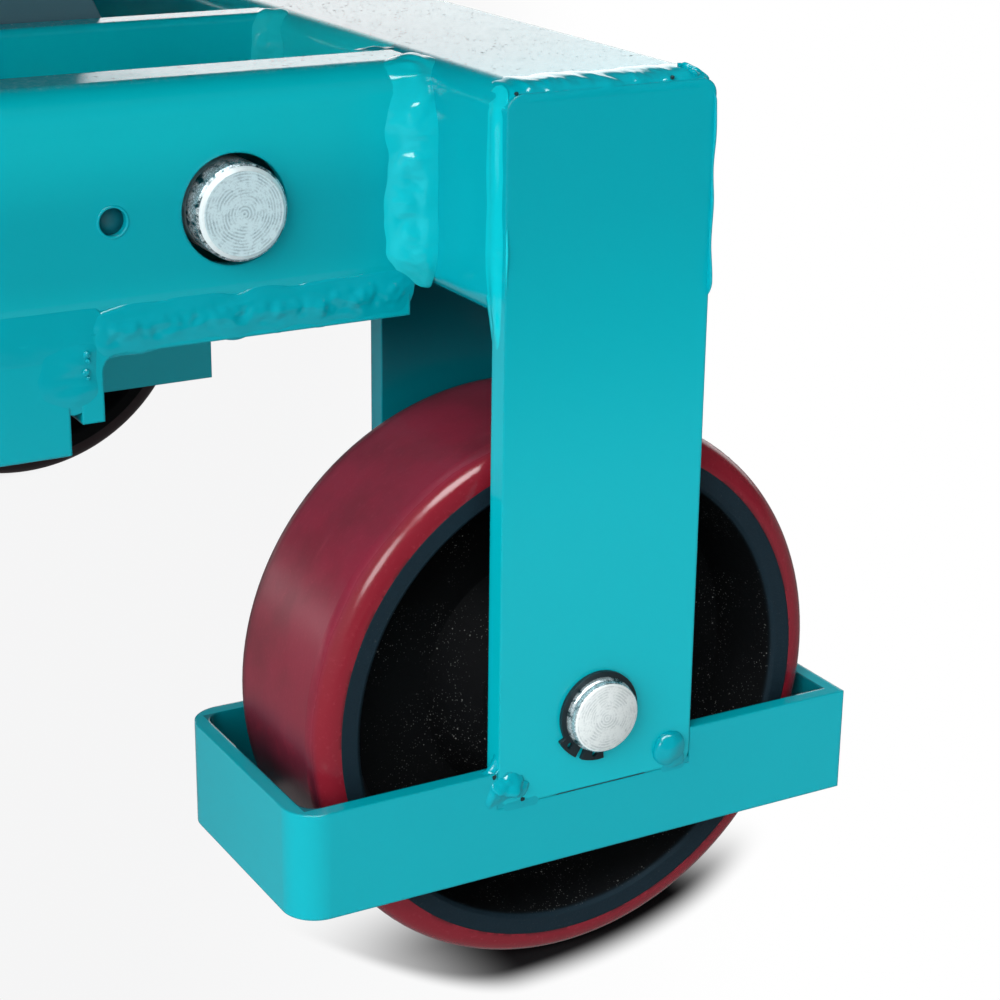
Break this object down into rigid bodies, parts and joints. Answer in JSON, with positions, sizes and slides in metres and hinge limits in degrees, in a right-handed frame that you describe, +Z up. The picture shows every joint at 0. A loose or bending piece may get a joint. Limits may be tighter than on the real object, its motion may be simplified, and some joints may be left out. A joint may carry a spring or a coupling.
{
  "type": "mobile lift table",
  "caption": "Low mobile scissor lift table with guarded fixed wheels, braked castors, a push handle, a foot pump and a flat platform.",
  "frame": {"origin": "middle of the whole table's outline on the ground", "axes": "+X towards the end with the fixed wheels, +Y to the left side of the table, +Z up"},
  "size_m": [1.2418, 0.5204, 1],
  "materials": {
    "frame_paint": "glossy powder coat, blue-green",
    "arm_paint": "satin blue-grey paint",
    "zinc": "bright zinc plated and turned steel",
    "rod_chrome": "hard chromed and polished",
    "spring_steel": "blackened spring steel",
    "cast_black": "black painted casting",
    "tread": "dark red polyurethane",
    "release_paint": "glossy dark red paint"
  },
  "bodies": {
    "frame": {"front_beam": "frame_paint", "rear_beam": "frame_paint", "outer_rail_right": "frame_paint", "outer_rail_left": "frame_paint", "inner_rail_right": "frame_paint", "inner_rail_left": "frame_paint", "lower_rails": "frame_paint", "cross_angle": "frame_paint", "cylinder_cross_member": "frame_paint", "outer_wheel_plate_right": "frame_paint", "outer_wheel_plate_left": "frame_paint", "inner_wheel_plates": "frame_paint", "wheel_guard_right": "frame_paint", "wheel_guard_left": "frame_paint", "wheel_axles": "zinc", "base_pivot_pins": "zinc", "circlips": "spring_steel", "castor_heads": "zinc", "frame_fasteners": "zinc", "pump_block": "cast_black", "oil_tank": "cast_black", "pressure_pipe": "zinc", "plunger_spring": "spring_steel", "push_handle": "frame_paint"},
    "outer_arms": {"outer_arm_right": "arm_paint", "outer_arm_left": "arm_paint", "outer_arm_tubes": "arm_paint", "centre_pins": "zinc"},
    "inner_arms": {"inner_arm_right": "arm_paint", "inner_arm_left": "arm_paint", "inner_arm_tubes": "arm_paint"},
    "platform": {"platform_deck": "frame_paint", "platform_channels": "frame_paint", "platform_brackets": "frame_paint", "platform_pins": "zinc"},
    "barrel": {"cylinder_barrel": "arm_paint"},
    "rod": {"piston_rod": "rod_chrome"},
    "pedal": {"pump_pedal": "frame_paint"},
    "plunger": {"pump_plunger": "zinc"},
    "release": {"release_pedal": "release_paint"},
    "wheel_right": {"wheel_core_right": "cast_black", "wheel_tread_right": "tread", "wheel_bearings_right": "zinc"},
    "fork_right": {"castor_fork_right": "zinc", "castor_axle_right": "zinc"},
    "castor_wheel_right": {"castor_core_right": "cast_black", "castor_tread_right": "tread"},
    "brake_right": {"brake_pedal_right": "spring_steel"},
    "base_roller_right": {"base_roller_right": "zinc"},
    "platform_roller_right": {"platform_roller_right": "zinc"},
    "wheel_left": {"wheel_core_left": "cast_black", "wheel_tread_left": "tread", "wheel_bearings_left": "zinc"},
    "fork_left": {"castor_fork_left": "zinc", "castor_axle_left": "zinc"},
    "castor_wheel_left": {"castor_core_left": "cast_black", "castor_tread_left": "tread"},
    "brake_left": {"brake_pedal_left": "spring_steel"},
    "base_roller_left": {"base_roller_left": "zinc"},
    "platform_roller_left": {"platform_roller_left": "zinc"}
  },
  "joints": [
    {"name": "lift", "type": "hinge", "parent": "frame", "child": "outer_arms", "pos_m": [0.4601, 0, 0.207], "axis": [0, 1, 0], "range_deg": [0, 46]},
    {"name": "scissor_centre", "type": "hinge", "parent": "outer_arms", "child": "inner_arms", "pos_m": [0.074, 0, 0.262], "axis": [0, 1, 0], "range_deg": [-92, 0]},
    {"name": "platform_pivot", "type": "hinge", "parent": "inner_arms", "child": "platform", "pos_m": [0.4601, 0, 0.317], "axis": [0, 1, 0], "range_deg": [0, 46]},
    {"name": "cylinder_swing", "type": "hinge", "parent": "frame", "child": "barrel", "pos_m": [0.2151, 0, 0.166], "axis": [0, 1, 0], "range_deg": [0, 54.58]},
    {"name": "rod_slide", "type": "slide", "parent": "barrel", "child": "rod", "axis": [-0.8878, 0, 0.4602], "range_m": [0, 0.0769]},
    {"name": "wheel_spin_right", "type": "hinge", "parent": "frame", "child": "wheel_right", "pos_m": [0.5411, -0.2215, 0.075], "axis": [0, 1, 0], "continuous": true},
    {"name": "wheel_spin_left", "type": "hinge", "parent": "frame", "child": "wheel_left", "pos_m": [0.5411, 0.2215, 0.075], "axis": [0, 1, 0], "continuous": true},
    {"name": "castor_swivel_right", "type": "hinge", "parent": "frame", "child": "fork_right", "pos_m": [-0.3479, -0.179, 0.158], "axis": [0, 0, 1], "continuous": true},
    {"name": "castor_spin_right", "type": "hinge", "parent": "fork_right", "child": "castor_wheel_right", "pos_m": [-0.3879, -0.179, 0.0625], "axis": [0, 1, 0], "continuous": true},
    {"name": "castor_brake_right", "type": "hinge", "parent": "fork_right", "child": "brake_right", "pos_m": [-0.4019, -0.179, 0.139], "axis": [0, -1, 0], "range_deg": [0, 16]},
    {"name": "castor_swivel_left", "type": "hinge", "parent": "frame", "child": "fork_left", "pos_m": [-0.3479, 0.179, 0.158], "axis": [0, 0, 1], "continuous": true},
    {"name": "castor_spin_left", "type": "hinge", "parent": "fork_left", "child": "castor_wheel_left", "pos_m": [-0.3879, 0.179, 0.0625], "axis": [0, 1, 0], "continuous": true},
    {"name": "castor_brake_left", "type": "hinge", "parent": "fork_left", "child": "brake_left", "pos_m": [-0.4019, 0.179, 0.139], "axis": [0, -1, 0], "range_deg": [0, 16]},
    {"name": "base_roller_spin_right", "type": "hinge", "parent": "inner_arms", "child": "base_roller_right", "pos_m": [-0.3121, -0.1079, 0.207], "axis": [0, 1, 0], "continuous": true},
    {"name": "platform_roller_spin_right", "type": "hinge", "parent": "outer_arms", "child": "platform_roller_right", "pos_m": [-0.3121, -0.1229, 0.317], "axis": [0, 1, 0], "continuous": true},
    {"name": "base_roller_spin_left", "type": "hinge", "parent": "inner_arms", "child": "base_roller_left", "pos_m": [-0.3121, 0.1079, 0.207], "axis": [0, 1, 0], "continuous": true},
    {"name": "platform_roller_spin_left", "type": "hinge", "parent": "outer_arms", "child": "platform_roller_left", "pos_m": [-0.3121, 0.1229, 0.317], "axis": [0, 1, 0], "continuous": true},
    {"name": "pump_pedal_swing", "type": "hinge", "parent": "frame", "child": "pedal", "pos_m": [-0.4189, 0, 0.3], "axis": [0, -1, 0], "range_deg": [0, 19], "stiffness_Nm_per_rad": 8, "springref_deg": -20.05},
    {"name": "plunger_slide", "type": "slide", "parent": "frame", "child": "plunger", "axis": [0, 0, -1], "range_m": [0, 0.01], "deforming": ["plunger_spring"]},
    {"name": "release_pedal_swing", "type": "hinge", "parent": "frame", "child": "release", "pos_m": [-0.4469, -0.055, 0.15], "axis": [0, -1, 0], "range_deg": [0, 14], "stiffness_Nm_per_rad": 2.5, "springref_deg": -20.05}
  ],
  "couplings": [
    {"joint": "scissor_centre", "follows": "lift", "ratio": -2},
    {"joint": "platform_pivot", "follows": "lift", "ratio": 1},
    {"joint": "cylinder_swing", "follows": "lift", "ratio": 1.1854},
    {"joint": "rod_slide", "follows": "lift", "m_per_rad": 0.0955},
    {"joint": "plunger_slide", "follows": "pump_pedal_swing", "m_per_rad": 0.03}
  ]
}
